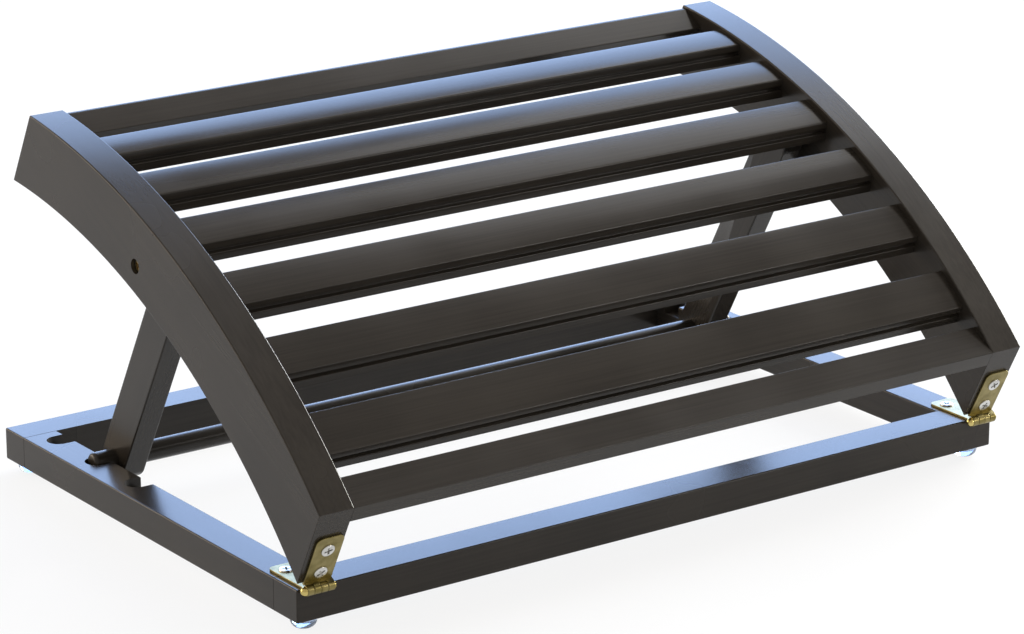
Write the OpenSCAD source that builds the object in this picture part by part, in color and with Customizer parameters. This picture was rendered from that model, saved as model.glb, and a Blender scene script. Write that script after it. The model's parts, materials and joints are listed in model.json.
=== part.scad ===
// Slatted footrest. An arched tread is hinged to the front of a flat base frame.
// A support of two legs and a round crossbar holds the tread up, and the ends of
// the crossbar stand in one of three notches along each side rail.
// Lengths are in millimetres. X runs across, Y from the hinge to the back, Z up.

/* [Base frame] */
// Width of the footrest across the side rails
base_w = 460; // [380:5:540]
// Depth of the base frame from front to back
base_d = 300; // [290:2:340]
// Height of the base rails
rail_h = 18; // [18:0.5:22]
// Width of the front rail seen from above
front_rail_w = 22; // [20:0.5:24]
// Width of the back rail seen from above
back_rail_w = 21; // [16:0.5:24]
// Width of the side rails seen from above
side_rail_w = 21; // [20.5:0.5:26]
// Diameter of the dowels in the corner joints
corner_dowel_d = 6; // [5:0.5:7]
// Length of the corner dowels
corner_dowel_len = 26; // [20:1:30]
// Distance between the two dowels of a corner
corner_dowel_gap = 10; // [8:0.5:12]
// Height of the corner dowels above the underside of the rails
corner_dowel_up = 6; // [5:0.5:6]

/* [Notches] */
// Number of notches in each side rail
notch_count = 3; // [2:1:3]
// Notch that the crossbar stands in, counted from the front
notch_in_use = 2; // [1:1:2]
// Distance from the back of the base to the middle of the last notch
notch_back = 35.2; // [33:0.2:50]
// Distance between neighbouring notches
notch_pitch = 41.9; // [36:0.1:44]
// Width of a notch
notch_w = 14; // [13.5:0.1:16]
// How far a notch reaches into the side rail
notch_reach = 13.5; // [12:0.1:15]
// Depth of a notch
notch_depth = 7.2; // [6:0.1:9]

/* [Feet] */
// Diameter of the rubber feet
foot_d = 14; // [10:0.2:18]
// Height of the rubber feet
foot_h = 6.5; // [3:0.5:8]
// Radius of the rounding around the bottom of the feet
foot_round = 4.4; // [1:0.2:4.6]
// Distance from a foot's middle to the faces of its corner
foot_inset = 10; // [9:0.5:14]

/* [Arms] */
// Thickness of the arms
arm_t = 20.5; // [20.5:0.5:24]
// Length of the arms along their chord
arm_len = 314; // [300:2:330]
// Height of the arms at their front ends
arm_end_h = 47.9; // [44:0.1:54]
// Rise of the arms' top edge from its front end to its crest
arm_top_rise = 26.1; // [22:0.1:30]
// Distance of the crest in front of the middle of the arms
arm_crest_lead = 3.3; // [0:0.1:4]
// Rise of the arms' lower edge from its ends to its middle
arm_under_rise = 30.9; // [26:0.1:32]
// Gap between an arm and the base rails when the tread lies flat
arm_seat_gap = 1.9; // [1.6:0.1:2.4]
// Distance of the arms' front ends behind the front of the base
arm_setback = 1.2; // [0.8:0.1:1.6]

/* [Slats] */
// Thickness of the middle slats
slat_t = 11.4; // [10.4:0.1:12.4]
// How far the crowns of the middle slats lie below the arms' crest
slat_recess = 3.8; // [3.2:0.1:4.4]
// How far the arch of the slats' crowns lies below the arms' back ends
slat_back_recess = 1.4; // [1:0.1:2]
// Height of the crown across a middle slat
slat_crown = 0.6; // [0.3:0.1:1.6]
// How much farther a middle slat's edge reaches out at its underside than at its top
slat_flare = 3; // [0:0.1:3.4]
// Width of the narrowest middle slat, the one next to the back slat
middle_slat_w = 20.7; // [17:0.1:22]
// How much wider each middle slat is than the one behind it
middle_slat_step = 0.9; // [0:0.1:1.4]
// Distance along the arch from the arms' back ends to the first middle slat's front edge
middle_slat_start = 56; // [52:0.5:60]
// Distance along the arch from the arms' front ends to the last middle slat's front edge
middle_slat_end = 33.4; // [30:0.2:40]
// How much wider each space between two middle slats is than the one behind it
middle_slat_spread = 2; // [0:0.05:2.2]
// Width of the front and back slats
end_slat_w = 20; // [16:0.5:21]
// Thickness of the front and back slats
end_slat_t = 9.9; // [9:0.1:11]
// Slope of the front and back slats against the chord of the arms
end_slat_slope = 4; // [0:1:8]
// Depth of the groove along the edges of a middle slat
groove_deep = 2.2; // [1:0.1:2.8]
// Height of the groove
groove_h = 2.7; // [1.5:0.1:3.2]
// Distance from the top of a slat's edge to its groove
groove_down = 3.7; // [2.8:0.1:4]
// Length of the tenons on the slats' ends
tenon_len = 10; // [6:0.5:12]
// Thickness of the tenons
tenon_t = 6; // [4:0.2:7]
// Shoulder on each side of a tenon
tenon_shoulder = 3.4; // [3:0.1:5]

/* [Support] */
// Distance of the leg pivots behind the arms' front ends
pivot_back = 192.5; // [188:0.5:196]
// Gap between the legs' rounded tops and the slats
leg_top_gap = 1.9; // [1.4:0.1:2.6]
// Distance between the pivot and the crossbar's middle
leg_len = 150.5; // [146:0.5:156]
// Width of the legs
leg_w = 23.4; // [20:0.2:23.6]
// Thickness of the legs
leg_t = 14; // [11:0.5:16]
// Gap between a leg and the arm or the side rail beside it
leg_gap = 3.7; // [2.4:0.1:5]
// Diameter of the crossbar
bar_d = 11.6; // [10:0.1:11.8]
// Rounding of the crossbar's ends
bar_round = 2.6; // [1:0.1:4]
// Gap between the crossbar's ends and the rounded ends of the notches
bar_end_gap = 3.7; // [3:0.1:5]
// Diameter of the pivot screws' shanks
pivot_screw_d = 4.2; // [3.5:0.1:5]
// Diameter of the pivot screws' heads
pivot_head_d = 7.5; // [7:0.1:9]
// Height of the pivot screws' heads
pivot_head_h = 2.4; // [2:0.1:3]
// How far the pivot screws' heads lie below the arms' outer faces
pivot_head_sink = 2.1; // [1:0.1:4]
// Wood left in the legs beyond the pivot screws' tips
pivot_tip_cover = 3; // [2:0.5:5]
// Diameter of the spacers between the arms and the legs
spacer_d = 12; // [10:0.5:16]

/* [Hinges] */
// Diameter of the hinge barrels
barrel_d = 5.5; // [5:0.1:5.8]
// Diameter of the hinge pins
hinge_pin_d = 2.6; // [2:0.1:3]
// Length of the pins' domed left heads
pin_head_h = 2.7; // [1:0.1:3]
// Length of the pins' riveted right ends
pin_tail_h = 0.6; // [0.3:0.1:0.8]
// Distance of the hinge axis in front of the base
hinge_out = 3; // [3:0.1:3.6]
// Number of knuckles in a hinge
knuckle_count = 4; // [4:2:6]
// Width of the hinge leaves
leaf_w = 16.4; // [14:0.2:18]
// Thickness of the hinge leaves
leaf_t = 1.3; // [1:0.1:1.5]
// Reach of the leaf on the base, measured from the hinge axis
base_leaf_len = 35.8; // [34:0.2:40]
// Reach of the leaf on the arm, measured from the hinge axis
arm_leaf_len = 33; // [30:0.2:36]
// Rounding of the leaves' free corners
leaf_round = 3.5; // [1:0.5:5]
// Distance of the base leaf's first screw from the hinge axis
base_screw_near = 10; // [9:0.2:12]
// Distance of the base leaf's second screw from the hinge axis
base_screw_far = 27.6; // [27.2:0.1:29]
// Sideways distance between the base leaf's two screws
base_screw_stagger = 3.8; // [0:0.2:4]
// Distance of the arm leaf's first screw from the hinge axis
arm_screw_near = 8.4; // [8:0.1:9]
// Distance of the arm leaf's second screw from the hinge axis
arm_screw_far = 24; // [20:0.2:25]
// Diameter of the hinge screws' heads
hinge_head_d = 7.6; // [6:0.1:8]
// Diameter of the hinge screws' shanks
hinge_screw_d = 3.2; // [2.5:0.1:3.5]
// Length of the hinge screws
hinge_screw_len = 9.5; // [7:0.5:9.5]
// How far the rounded heads of the hinge screws stand above the leaves
hinge_head_up = 0.8; // [0.3:0.1:1]

/* [Fits] */
// Clearance around a glued, screwed or driven piece
snug = 0.05; // [0.02:0.01:0.1]
// Clearance around a turning shank or pin
running = 0.08; // [0.05:0.01:0.1]
// Clearance between parts that pass or rest on each other
free_gap = 0.3; // [0.2:0.05:0.4]

/* [Hidden] */

WOOD = "#453f3c";
DARK_WOOD = "#38322f";
BARE_WOOD = "#b08d5e";
BRASS = "#c9a64e";
STEEL = "#b9bcc0";
RUBBER = "#b9cdea";
NYLON = "#2b2a29";

small_fn = 32;
round_fn = 64;
arc_fn = 720;
overcut = 1;
left = -1;
right = 1;

half_w = base_w / 2;
rail_top = foot_h + rail_h;
arm_in = half_w - arm_t;
side_in = half_w - side_rail_w;
hinge_x = half_w - arm_t / 2;

// Radius of a bow with the given rise over the given half chord
function bow_radius(half, rise) = (pow(half, 2) + pow(rise, 2)) / (2 * rise);

// Arch of the arms, in the frame of the tread lying flat. Its height zero is the
// top of the base rails and its distance zero is the front of the base.
half_chord = arm_len / 2;
arch_mid = arm_setback + half_chord;
arm_end_top = arm_seat_gap + arm_end_h;
arm_crest = arm_end_top + arm_top_rise;
arm_vault = arm_seat_gap + arm_under_rise;
arm_back = arm_setback + arm_len;
crest_y = arch_mid - arm_crest_lead;
top_r = bow_radius(crest_y - arm_setback, arm_top_rise);
under_r = bow_radius(half_chord, arm_under_rise);
arm_back_top = arm_crest - top_r + sqrt(pow(top_r, 2) - pow(half_chord + arm_crest_lead, 2));

// Arch of the middle slats' crowns, a little flatter and lower than the arms' top edge
slats_crest = arm_crest - slat_recess;
slats_r = bow_radius(half_chord, slats_crest - arm_back_top + slat_back_recess);
half_arc = asin(half_chord / slats_r);
arc_len = 2 * half_arc * PI / 180 * slats_r;

function notch_y(i) = base_d - notch_back - (notch_count - i) * notch_pitch;

// Crossbar's place in its notch, measured from the base's front and rail top.
// The load pushes it against the notch's back wall.
bar_r = bar_d / 2;
notch_mid = notch_y(notch_in_use);
bar_y = notch_mid + notch_w / 2 - bar_r - free_gap;
bar_z = bar_r + free_gap - notch_depth;
bar_end = side_in + notch_reach - bar_end_gap;

// Tilt of the tread, from the triangle of hinge, pivot and crossbar
hinge_y = -hinge_out;
pivot_y = arm_setback + pivot_back;
pivot_arc_r = slats_r - slat_t - leg_top_gap - leg_w / 2;
pivot_z = slats_crest - slats_r + sqrt(pow(pivot_arc_r, 2) - pow(pivot_y - arch_mid, 2));
pivot_reach = norm([pivot_y - hinge_y, pivot_z]);
bar_reach = norm([bar_y - hinge_y, bar_z]);
triangle_angle = acos((pow(pivot_reach, 2) + pow(bar_reach, 2) - pow(leg_len, 2))
    / (2 * pivot_reach * bar_reach));
tilt = triangle_angle + atan2(bar_z, bar_y - hinge_y) - atan2(pivot_z, pivot_y - hinge_y);

// Pivot and lean of the legs with the tread raised
raised_pivot_y = hinge_y + (pivot_y - hinge_y) * cos(tilt) - pivot_z * sin(tilt);
raised_pivot_z = (pivot_y - hinge_y) * sin(tilt) + pivot_z * cos(tilt);
lean = atan2(bar_y - raised_pivot_y, raised_pivot_z - bar_z);

// The origin lies under the middle of the raised footrest
front_most = hinge_y + (arm_setback - hinge_y) * cos(tilt) - arm_end_top * sin(tilt);
origin_y = (min(front_most, hinge_y - barrel_d / 2) + base_d) / 2;

leg_out = min(arm_in, side_in) - leg_gap;
pivot_screw_bite = leg_t - pivot_tip_cover;

// The hinges sit aside by half the difference of their pins' ends
hinge_shift = (pin_head_h - pin_tail_h) / 2;
knuckle_len = leaf_w / knuckle_count;
pin_head_r = barrel_d / 2 - 0.3;
pin_tail_r = barrel_d / 2 - 0.6;
leaf_seat = arm_setback - hinge_y;
web_low = barrel_d / 2 - leaf_t;
hinge_slot_w = 1.1;
pivot_slot_w = 1.3;
slot_share = 0.6;

middle_slat_count = 6;
end_slat_lead = end_slat_t * tan(end_slat_slope);
end_tenon_t = 0.8 * tenon_t;
end_tenon_mid = -0.55 * end_slat_t;
slat_middle = -(slat_t + slat_crown) / 2;

module on_base() {
    translate([0, -origin_y, rail_top]) children();
}

module on_tread() {
    on_base() translate([0, hinge_y, 0]) rotate([tilt, 0, 0]) translate([0, -hinge_y, 0]) children();
}

module on_support() {
    on_base() translate([0, raised_pivot_y, raised_pivot_z]) rotate([lean, 0, 0]) children();
}

// Extrudes a side view, drawn with Y to the right and Z up, along X
module side_view(x, thick) {
    translate([x, 0, 0]) rotate([90, 0, 90]) linear_extrude(thick) children();
}

// A round bar along X, from its left end
module bar_along_x(x, len, r, fn = round_fn) {
    translate([x, 0, 0]) rotate([0, 90, 0]) cylinder(h = len, r = r, $fn = fn);
}

// Round pins across the four seams of the base frame, two to a corner
module corner_pins(r, len) {
    for (side = [left, right], shift = [-0.5, 0.5], seam = [front_rail_w, base_d - back_rail_w])
        translate([
            side * (half_w - side_rail_w / 2) + shift * corner_dowel_gap,
            seam,
            corner_dowel_up - rail_h
        ])
            rotate([90, 0, 0]) cylinder(h = len, r = r, center = true, $fn = small_fn);
}

module corner_bores() {
    corner_pins(corner_dowel_d / 2 + snug, corner_dowel_len + 2 * free_gap);
}

// Pilot bore of a hinge screw whose leaf has its outer face at height zero
module screw_bore() {
    translate([0, 0, -hinge_screw_len - free_gap])
        cylinder(h = hinge_screw_len, r = hinge_screw_d / 2 + snug, $fn = small_fn);
}

// Places of a base leaf's screws, measured from the middle of its hinge
module base_leaf_screw_places() {
    translate([base_screw_stagger / 2, base_screw_near, leaf_t]) children();
    translate([-base_screw_stagger / 2, base_screw_far, leaf_t]) children();
}

// Places of an arm leaf's screws, measured from the middle of its hinge
module arm_leaf_screw_places() {
    for (reach = [arm_screw_near, arm_screw_far])
        translate([0, leaf_seat - leaf_t, reach]) rotate([90, 0, 0]) children();
}

module at_hinge(side) {
    translate([side * hinge_x + hinge_shift, hinge_y, 0]) children();
}

module base_screw_bores() {
    for (side = [left, right])
        at_hinge(side) base_leaf_screw_places() screw_bore();
}

module base_front_rail() {
    color(WOOD) on_base() difference() {
        translate([-half_w, 0, -rail_h]) cube([base_w, front_rail_w, rail_h]);
        corner_bores();
        base_screw_bores();
    }
}

module base_back_rail() {
    color(WOOD) on_base() difference() {
        translate([-half_w, base_d - back_rail_w, -rail_h]) cube([base_w, back_rail_w, rail_h]);
        corner_bores();
    }
}

// Notch with a rounded outer end, open to the inside of the frame
module notch(side) {
    round_x = side_in + notch_reach - notch_w / 2;
    translate([side * round_x, 0, -notch_depth])
        cylinder(h = notch_depth + overcut, r = notch_w / 2, $fn = round_fn);
    straight = round_x - side_in + overcut;
    translate([side * (round_x - straight / 2), 0, (overcut - notch_depth) / 2])
        cube([straight, notch_w, notch_depth + overcut], center = true);
}

module base_side_rail(side) {
    rail_len = base_d - front_rail_w - back_rail_w;
    on_base() difference() {
        translate([side * (half_w - side_rail_w / 2), front_rail_w + rail_len / 2, -rail_h / 2])
            cube([side_rail_w, rail_len, rail_h], center = true);
        for (i = [1 : notch_count])
            translate([0, notch_y(i), 0]) notch(side);
        corner_bores();
        base_screw_bores();
    }
}

module base_left_rail() {
    color(WOOD) base_side_rail(left);
}

module base_right_rail() {
    color(WOOD) base_side_rail(right);
}

module corner_dowels() {
    color(BARE_WOOD) on_base() corner_pins(corner_dowel_d / 2, corner_dowel_len);
}

// Rounded rubber foot, stuck under the corner of the base
module foot(side, y) {
    core = foot_d / 2 - foot_round;
    color(RUBBER) translate([side * (half_w - foot_inset), y - origin_y, foot_h])
        rotate_extrude($fn = round_fn)
            intersection() {
                translate([0, -foot_h]) square([foot_d / 2, foot_h]);
                union() {
                    translate([0, foot_round - foot_h]) square([foot_d / 2, foot_h]);
                    translate([core, foot_round - foot_h]) circle(r = foot_round, $fn = round_fn);
                    translate([0, -foot_h]) square([core, foot_round]);
                }
            }
}

module front_left_foot() {
    foot(left, foot_inset);
}

module front_right_foot() {
    foot(right, foot_inset);
}

module back_left_foot() {
    foot(left, base_d - foot_inset);
}

module back_right_foot() {
    foot(right, base_d - foot_inset);
}

// Places of the knuckles: the base leaf has the even ones, the arm leaf the odd ones
module knuckle_places(first) {
    for (i = [first : 2 : knuckle_count - 1])
        translate([i * knuckle_len - leaf_w / 2, 0, 0]) children();
}

module knuckles(first) {
    trim = running;
    knuckle_places(first) bar_along_x(trim, knuckle_len - 2 * trim, barrel_d / 2);
}

// Room that a leaf leaves for the other leaf's knuckles
module knuckle_room(first) {
    knuckle_places(first)
        bar_along_x(-running, knuckle_len + 2 * running, barrel_d / 2 + free_gap);
}

module pin_bore() {
    bar_along_x(-leaf_w, 2 * leaf_w, hinge_pin_d / 2 + running, small_fn);
}

// Leaf outline with its two free corners rounded, measured from the hinge axis
module leaf_outline(from, len) {
    translate([-leaf_w / 2, from]) square([leaf_w, len - leaf_round - from]);
    translate([leaf_round - leaf_w / 2, from]) square([leaf_w - 2 * leaf_round, len - from]);
    for (side = [left, right])
        translate([side * (leaf_w / 2 - leaf_round), len - leaf_round])
            circle(r = leaf_round, $fn = small_fn);
}

// Countersunk hole through a leaf whose outer face is at height zero
module countersink() {
    shank_r = hinge_screw_d / 2 + snug;
    head_r = hinge_head_d / 2 + snug;
    translate([0, 0, -leaf_t]) cylinder(h = leaf_t, r1 = shank_r, r2 = head_r, $fn = small_fn);
    cylinder(h = overcut, r = head_r, $fn = small_fn);
    translate([0, 0, -leaf_t - overcut]) cylinder(h = leaf_t + overcut, r = shank_r, $fn = small_fn);
}

// Screw with a cross recess. Its cone fills the leaf and its rounded head stands above it.
module hinge_screw() {
    shank_r = hinge_screw_d / 2;
    head_r = hinge_head_d / 2;
    edge_r = 0.7 * hinge_head_up;
    difference() {
        rotate_extrude($fn = small_fn) {
            polygon([[0, -leaf_t], [shank_r, -leaf_t], [head_r, 0], [0, 0]]);
            translate([0, -hinge_screw_len]) square([shank_r, hinge_screw_len]);
            intersection() {
                square([head_r, hinge_head_up]);
                union() {
                    square([head_r - edge_r, hinge_head_up]);
                    square([head_r, hinge_head_up - edge_r]);
                    translate([head_r - edge_r, hinge_head_up - edge_r])
                        circle(r = edge_r, $fn = small_fn);
                }
            }
        }
        cross_recess(slot_share * hinge_head_d, hinge_slot_w, hinge_head_up);
    }
}

// Cross cut into the top of a screw's head
module cross_recess(span, slot, top) {
    deep = slot;
    for (turn = [0, 90])
        rotate([0, 0, turn]) translate([-span / 2, -slot / 2, top - deep])
            cube([span, slot, deep + overcut]);
}

module hinge_base_leaf(side) {
    color(BRASS) on_base() at_hinge(side) difference() {
        union() {
            difference() {
                linear_extrude(leaf_t) leaf_outline(0, base_leaf_len);
                knuckle_room(1);
            }
            knuckles(0);
        }
        pin_bore();
        base_leaf_screw_places() countersink();
    }
}

module left_hinge_base_leaf() {
    hinge_base_leaf(left);
}

module right_hinge_base_leaf() {
    hinge_base_leaf(right);
}

// The arm leaf stands up against the arm's front end, joined to its knuckles by a web
module hinge_arm_leaf(side) {
    color(BRASS) on_tread() at_hinge(side) difference() {
        union() {
            difference() {
                union() {
                    translate([0, leaf_seat, 0]) rotate([90, 0, 0])
                        linear_extrude(leaf_t) leaf_outline(web_low, arm_leaf_len);
                    translate([-leaf_w / 2, 0, web_low]) cube([leaf_w, leaf_seat, leaf_t]);
                }
                knuckle_room(0);
            }
            knuckles(1);
        }
        pin_bore();
        arm_leaf_screw_places() countersink();
    }
}

module left_hinge_arm_leaf() {
    hinge_arm_leaf(left);
}

module right_hinge_arm_leaf() {
    hinge_arm_leaf(right);
}

// Hinge pin with a domed head at its left end and a flat riveted right end
module hinge_pin(side) {
    color(BRASS) on_base() at_hinge(side) {
        bar_along_x(-leaf_w / 2, leaf_w, hinge_pin_d / 2, small_fn);
        translate([-leaf_w / 2, 0, 0]) rotate([0, -90, 0]) rotate_extrude($fn = small_fn)
            intersection() {
                translate([0, pin_head_h - pin_head_r]) circle(r = pin_head_r, $fn = round_fn);
                square([pin_head_r, pin_head_h]);
            }
        bar_along_x(leaf_w / 2, pin_tail_h, pin_tail_r, small_fn);
    }
}

module left_hinge_pin() {
    hinge_pin(left);
}

module right_hinge_pin() {
    hinge_pin(right);
}

module base_leaf_screws() {
    color(STEEL) on_base()
        for (side = [left, right])
            at_hinge(side) base_leaf_screw_places() hinge_screw();
}

module arm_leaf_screws() {
    color(STEEL) on_tread()
        for (side = [left, right])
            at_hinge(side) arm_leaf_screw_places() hinge_screw();
}

module arm_outline() {
    difference() {
        intersection() {
            translate([arm_setback, -overcut]) square([arm_len, arm_crest + 2 * overcut]);
            translate([crest_y, arm_crest - top_r]) circle(r = top_r, $fn = arc_fn);
        }
        translate([arch_mid, arm_vault - under_r]) circle(r = under_r, $fn = arc_fn);
    }
}

// Places of the middle slats, counted from zero at the back. Their front edges
// lie between two set distances from the arms' ends, and the spaces grow evenly.
function middle_slat_width(i) = middle_slat_w + i * middle_slat_step;
function spread_to(i) = middle_slat_spread * i * (i - 1) / 2;
last_middle = middle_slat_count - 1;
middle_slat_pitch = (arc_len - middle_slat_start - middle_slat_end - spread_to(last_middle)) / last_middle;
function middle_slat_front(i) = middle_slat_start + i * middle_slat_pitch + spread_to(i);
function arc_angle(from_back) = half_arc - from_back / slats_r * 180 / PI;

// Frame of a middle slat: its crown is at height zero, its width runs along Y
module on_middle_slat(i) {
    angle = arc_angle(middle_slat_front(i) - middle_slat_width(i) / 2);
    translate([0, arch_mid, slats_crest - slats_r]) rotate([-angle, 0, 0])
        translate([0, 0, slats_r]) children();
}

// Frames of the front and back slats: their tops are at height zero
module on_front_slat() {
    translate([0, arm_setback, arm_end_top]) rotate([end_slat_slope, 0, 0])
        translate([0, end_slat_w / 2, 0]) children();
}

module on_back_slat() {
    translate([0, arm_back, arm_back_top]) rotate([end_slat_slope, 0, 0])
        translate([0, -end_slat_w / 2, 0]) children();
}

// Section of a middle slat: bowed top, edges that flare out downwards, and two grooves
module middle_slat_profile(w) {
    crown_r = bow_radius(w / 2, slat_crown);
    lean_out = slat_flare / (slat_t - slat_crown);
    over_half = w / 2 - lean_out * (slat_crown + overcut);
    low_half = w / 2 + slat_flare;
    groove_top = -slat_crown - groove_down;
    groove_wall = w / 2 + lean_out * (groove_down + groove_h / 2) - groove_deep;
    difference() {
        intersection() {
            polygon([
                [-over_half, overcut], [-low_half, -slat_t],
                [low_half, -slat_t], [over_half, overcut]
            ]);
            translate([0, -crown_r]) circle(r = crown_r, $fn = arc_fn);
        }
        for (side = [left, right])
            translate([side * (groove_wall + groove_deep) - groove_deep, groove_top - groove_h])
                square([2 * groove_deep, groove_h]);
    }
}

module tenons(w, t, middle, spare) {
    deep = t + 2 * spare;
    wide = w - 2 * tenon_shoulder + 2 * spare;
    long = 2 * (arm_in + tenon_len + spare);
    translate([-long / 2, -wide / 2, middle - deep / 2]) cube([long, wide, deep]);
}

module middle_slat(i) {
    w = middle_slat_width(i);
    color(DARK_WOOD) on_tread() on_middle_slat(i) {
        side_view(-arm_in, 2 * arm_in) middle_slat_profile(w);
        tenons(w, tenon_t, slat_middle, 0);
    }
}

// Section of the front or back slat, which has no groove. It is drawn from a place at the
// arms' end and cut off flush with that end.
module end_slat_profile(end, top, from) {
    intersection() {
        translate([arm_setback, 0]) square([arm_len, arm_crest]);
        translate([end, top]) rotate(end_slat_slope)
            translate([from, -end_slat_t]) square([end_slat_w + end_slat_lead, end_slat_t]);
    }
}

module front_slat() {
    color(DARK_WOOD) on_tread() {
        side_view(-arm_in, 2 * arm_in) end_slat_profile(arm_setback, arm_end_top, -end_slat_lead);
        on_front_slat() tenons(end_slat_w, end_tenon_t, end_tenon_mid, 0);
    }
}

module back_slat() {
    color(DARK_WOOD) on_tread() {
        side_view(-arm_in, 2 * arm_in) end_slat_profile(arm_back, arm_back_top, -end_slat_w);
        on_back_slat() tenons(end_slat_w, end_tenon_t, end_tenon_mid, 0);
    }
}

module slat_1() {
    back_slat();
}

module slat_2() {
    middle_slat(0);
}

module slat_3() {
    middle_slat(1);
}

module slat_4() {
    middle_slat(2);
}

module slat_5() {
    middle_slat(3);
}

module slat_6() {
    middle_slat(4);
}

module slat_7() {
    middle_slat(5);
}

module slat_8() {
    front_slat();
}

module mortises() {
    on_back_slat() tenons(end_slat_w, end_tenon_t, end_tenon_mid, snug);
    for (i = [0 : last_middle])
        on_middle_slat(i) tenons(middle_slat_width(i), tenon_t, slat_middle, snug);
    on_front_slat() tenons(end_slat_w, end_tenon_t, end_tenon_mid, snug);
}

// Bore and counterbore of a pivot screw, from the arm's outer face inwards along +Z
module pivot_bore() {
    translate([0, 0, -overcut])
        cylinder(h = arm_t + 2 * overcut, r = pivot_screw_d / 2 + running, $fn = round_fn);
    translate([0, 0, -overcut])
        cylinder(h = overcut + pivot_head_sink + pivot_head_h, r = pivot_head_d / 2 + free_gap,
            $fn = round_fn);
}

module at_pivot_from_outside(side) {
    translate([side * half_w, pivot_y, pivot_z]) rotate([0, -side * 90, 0]) children();
}

module arm(side) {
    color(WOOD) on_tread() difference() {
        side_view(side * (half_w - arm_t / 2) - arm_t / 2, arm_t) arm_outline();
        mortises();
        at_pivot_from_outside(side) pivot_bore();
        at_hinge(side) arm_leaf_screw_places() screw_bore();
    }
}

module left_arm() {
    arm(left);
}

module right_arm() {
    arm(right);
}

// Stadium outline of a leg around the pivot and the crossbar
module leg_outline() {
    circle(r = leg_w / 2, $fn = round_fn);
    translate([0, -leg_len]) circle(r = leg_w / 2, $fn = round_fn);
    translate([-leg_w / 2, -leg_len]) square([leg_w, leg_len]);
}

module leg(side) {
    color(DARK_WOOD) on_support() difference() {
        side_view(side * (leg_out - leg_t / 2) - leg_t / 2, leg_t) leg_outline();
        translate([0, 0, -leg_len]) bar_along_x(-half_w, base_w, bar_r + snug);
        bite = pivot_screw_bite + free_gap;
        bar_along_x(side > 0 ? leg_out - bite : -leg_out - overcut, bite + overcut, pivot_screw_d / 2 + snug);
    }
}

module left_leg() {
    leg(left);
}

module right_leg() {
    leg(right);
}

// Round crossbar with rounded ends
module crossbar() {
    color(DARK_WOOD) on_support() translate([0, 0, -leg_len]) rotate([0, 90, 0])
        rotate_extrude($fn = round_fn) intersection() {
            translate([0, -bar_end]) square([bar_r, 2 * bar_end]);
            union() {
                translate([0, bar_round - bar_end]) square([bar_r, 2 * (bar_end - bar_round)]);
                translate([0, -bar_end]) square([bar_r - bar_round, 2 * bar_end]);
                for (side = [left, right])
                    translate([bar_r - bar_round, side * (bar_end - bar_round)])
                        circle(r = bar_round, $fn = small_fn);
            }
        }
}

// Pivot screw: turns in the arm's bore and is screwed into the leg
module pivot_screw(side) {
    long = half_w - pivot_head_sink - leg_out + pivot_screw_bite;
    color(BRASS) on_support() translate([side * (half_w - pivot_head_sink), 0, 0])
        rotate([0, -side * 90, 0]) difference() {
            union() {
                cylinder(h = long, r = pivot_screw_d / 2, $fn = round_fn);
                cylinder(h = pivot_head_h - running, r = pivot_head_d / 2, $fn = round_fn);
            }
            rotate([180, 0, 0]) cross_recess(slot_share * pivot_head_d, pivot_slot_w, 0);
        }
}

module left_pivot_screw() {
    pivot_screw(left);
}

module right_pivot_screw() {
    pivot_screw(right);
}

// Spacer ring on the pivot screw, between arm and leg
module pivot_spacer(side) {
    wide = arm_in - leg_out - free_gap;
    from = side > 0 ? leg_out : -leg_out - wide;
    color(NYLON) on_support() difference() {
        bar_along_x(from, wide, spacer_d / 2);
        bar_along_x(from - overcut, wide + 2 * overcut, pivot_screw_d / 2 + snug);
    }
}

module left_pivot_spacer() {
    pivot_spacer(left);
}

module right_pivot_spacer() {
    pivot_spacer(right);
}

base_front_rail();
base_back_rail();
base_left_rail();
base_right_rail();
corner_dowels();
front_left_foot();
front_right_foot();
back_left_foot();
back_right_foot();
left_hinge_base_leaf();
right_hinge_base_leaf();
left_hinge_pin();
right_hinge_pin();
base_leaf_screws();
left_arm();
right_arm();
slat_1();
slat_2();
slat_3();
slat_4();
slat_5();
slat_6();
slat_7();
slat_8();
left_hinge_arm_leaf();
right_hinge_arm_leaf();
arm_leaf_screws();
left_leg();
right_leg();
crossbar();
left_pivot_screw();
right_pivot_screw();
left_pivot_spacer();
right_pivot_spacer();
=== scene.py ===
import json
from math import asin, atan2, cos, pi, radians, sin, sqrt

import bmesh
import bpy
from mathutils import Matrix, Vector


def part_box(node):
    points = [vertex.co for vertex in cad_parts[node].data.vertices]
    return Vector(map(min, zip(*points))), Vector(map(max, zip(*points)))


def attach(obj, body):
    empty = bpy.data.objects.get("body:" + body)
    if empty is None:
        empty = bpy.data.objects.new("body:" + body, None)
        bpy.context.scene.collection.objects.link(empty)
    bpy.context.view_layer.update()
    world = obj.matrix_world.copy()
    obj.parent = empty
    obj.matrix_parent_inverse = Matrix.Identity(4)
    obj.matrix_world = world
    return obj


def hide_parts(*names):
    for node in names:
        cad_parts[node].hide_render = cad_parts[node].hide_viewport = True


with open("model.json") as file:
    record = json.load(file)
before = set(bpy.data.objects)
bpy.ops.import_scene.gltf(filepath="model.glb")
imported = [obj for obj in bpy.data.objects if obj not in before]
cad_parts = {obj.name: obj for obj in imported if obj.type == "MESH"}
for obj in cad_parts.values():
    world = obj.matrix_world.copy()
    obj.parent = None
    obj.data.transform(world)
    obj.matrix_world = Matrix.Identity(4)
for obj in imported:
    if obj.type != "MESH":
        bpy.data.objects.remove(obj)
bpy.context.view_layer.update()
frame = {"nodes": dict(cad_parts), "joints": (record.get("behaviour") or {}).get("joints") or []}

# The base frame is four bamboo rails, butted at the corners and glued over hidden dowels,
# then sprayed with a dark satin lacquer. The side rails have three notches each, milled
# into the top inner edge, where the crossbar's ends stand. Sizes are in millimetres.
MM = 0.001
SIDES = {"left": -1, "right": 1}
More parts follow.
